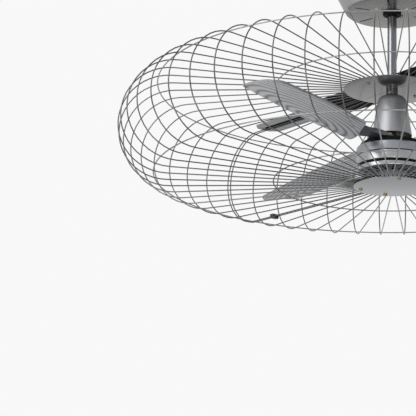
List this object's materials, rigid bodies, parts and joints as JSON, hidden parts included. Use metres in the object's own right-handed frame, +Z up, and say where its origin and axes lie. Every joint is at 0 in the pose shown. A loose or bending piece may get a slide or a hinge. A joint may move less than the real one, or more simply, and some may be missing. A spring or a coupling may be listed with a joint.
{
  "type": "ceiling fan",
  "caption": "Ceiling fan with twisted blades on a motor drum inside a split wire cage, hung from a canopy by a downrod.",
  "frame": {"origin": "on the ceiling plane, on the axis of the downrod, midway between the two ceiling slots", "axes": "+Z up into the ceiling; the cage's seam lies along X; the ceiling bracket runs along Y"},
  "size_m": [1.1828, 1.1908, 0.4484],
  "materials": {
    "satin_steel": "satin brushed silver",
    "cage_wire": "satin grey wire",
    "galvanised": "plain zinc",
    "drum_metal": "satin cast",
    "rotor_iron": "satin on the outside",
    "black_metal": "satin black",
    "blade_wood": "grey grained laminate",
    "black_rubber": "matt black",
    "hanger_plastic": "moulded black",
    "clip_plastic": "moulded black",
    "brass": "plain",
    "dark_screw": "blackened",
    "bearing_steel": "ground"
  },
  "bodies": {
    "hanger": {"canopy": "satin_steel", "downrod": "satin_steel", "coupler": "satin_steel", "cone_cover": "satin_steel", "bottom_cover": "satin_steel", "top_plate_front": "satin_steel", "top_plate_rear": "satin_steel", "bottom_plate_front": "satin_steel", "bottom_plate_rear": "satin_steel", "cage_wires_front": "cage_wire", "cage_wires_rear": "cage_wire", "upper_outer_ring_front": "cage_wire", "upper_outer_ring_rear": "cage_wire", "lower_outer_ring_front": "cage_wire", "lower_outer_ring_rear": "cage_wire", "upper_inner_ring_front": "cage_wire", "upper_inner_ring_rear": "cage_wire", "lower_inner_ring_front": "cage_wire", "lower_inner_ring_rear": "cage_wire", "ceiling_bracket": "galvanised", "cage_strap": "galvanised", "hanger_pin": "galvanised", "stator_core": "rotor_iron", "seam_arm_left": "black_metal", "seam_arm_right": "black_metal", "canopy_collar": "black_rubber", "hanger_ball": "hanger_plastic", "seam_clips": "clip_plastic", "canopy_screws": "brass", "plate_screws": "brass", "cover_screws": "brass", "coupler_screws": "brass", "stator_coils": "brass", "upper_bearing": "bearing_steel", "lower_bearing": "bearing_steel", "motor_shaft": "bearing_steel"},
    "rotor": {"drum_lid": "drum_metal", "drum_rotor": "rotor_iron", "drum_cap": "black_metal", "blade_flange": "black_metal", "iron_screws": "brass", "blade_screws": "dark_screw", "blade_1": "blade_wood", "blade_2": "blade_wood", "blade_3": "blade_wood", "blade_iron_1": "black_metal", "blade_iron_2": "black_metal", "blade_iron_3": "black_metal"}
  },
  "joints": [
    {"name": "rotor_spin", "type": "hinge", "parent": "hanger", "child": "rotor", "pos_m": [0, 0, -0.392], "axis": [0, 0, 1], "continuous": true}
  ]
}
